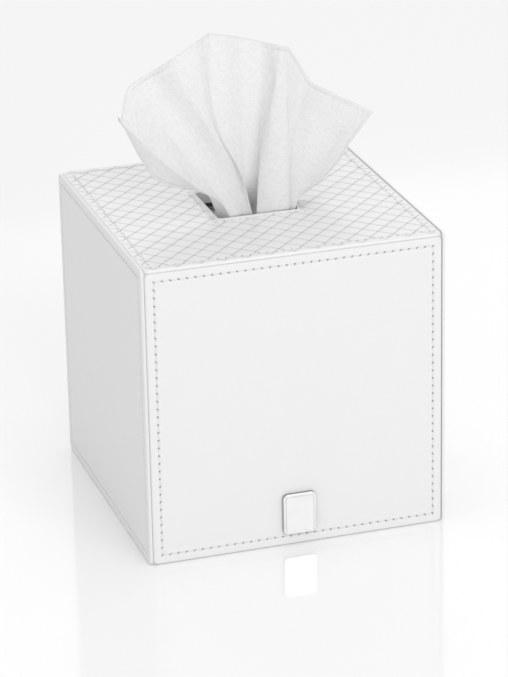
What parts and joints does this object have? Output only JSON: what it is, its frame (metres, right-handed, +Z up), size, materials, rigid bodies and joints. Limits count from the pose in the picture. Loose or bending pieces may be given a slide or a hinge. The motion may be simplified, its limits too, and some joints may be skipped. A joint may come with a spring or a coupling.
{
  "type": "tissue box holder",
  "caption": "Cube-shaped tissue box cover in white stitched leatherette with an embossed top, a square opening, a bare badge, and a tissue pulled from the carton inside.",
  "frame": {"origin": "middle of the cover's footprint, on the surface it stands on", "axes": "+Z up, front face with the badge towards -Y, +X to the right seen from the front"},
  "size_m": [0.1354, 0.1368, 0.2141],
  "materials": {
    "leatherette": "smooth white leatherette, semi-gloss",
    "embossed_leatherette": "white leatherette embossed with a diamond lattice, glossy",
    "thread": "white twisted polyester sewing thread",
    "fibreboard": "raw fibreboard",
    "badge_metal": "satin chrome-plated metal",
    "badge_enamel": "silver-white metallic enamel",
    "carton_board": "white-lined folding carton board",
    "film": "thin cloudy film",
    "tissue": "soft white creped tissue"
  },
  "bodies": {
    "root": {"left_board": "fibreboard", "right_board": "fibreboard", "front_board": "fibreboard", "back_board": "fibreboard", "top_board": "fibreboard", "left_cover": "leatherette", "right_cover": "leatherette", "front_cover": "leatherette", "back_cover": "leatherette", "top_cover": "embossed_leatherette", "left_stitching": "thread", "right_stitching": "thread", "front_stitching": "thread", "back_stitching": "thread", "top_stitching": "thread", "opening_stitching": "thread", "badge_plate": "badge_metal", "badge_enamel": "badge_enamel", "tissue_carton": "carton_board", "carton_film": "film", "tissue_stack": "tissue", "pulled_tissue": "tissue"}
  },
  "joints": []
}
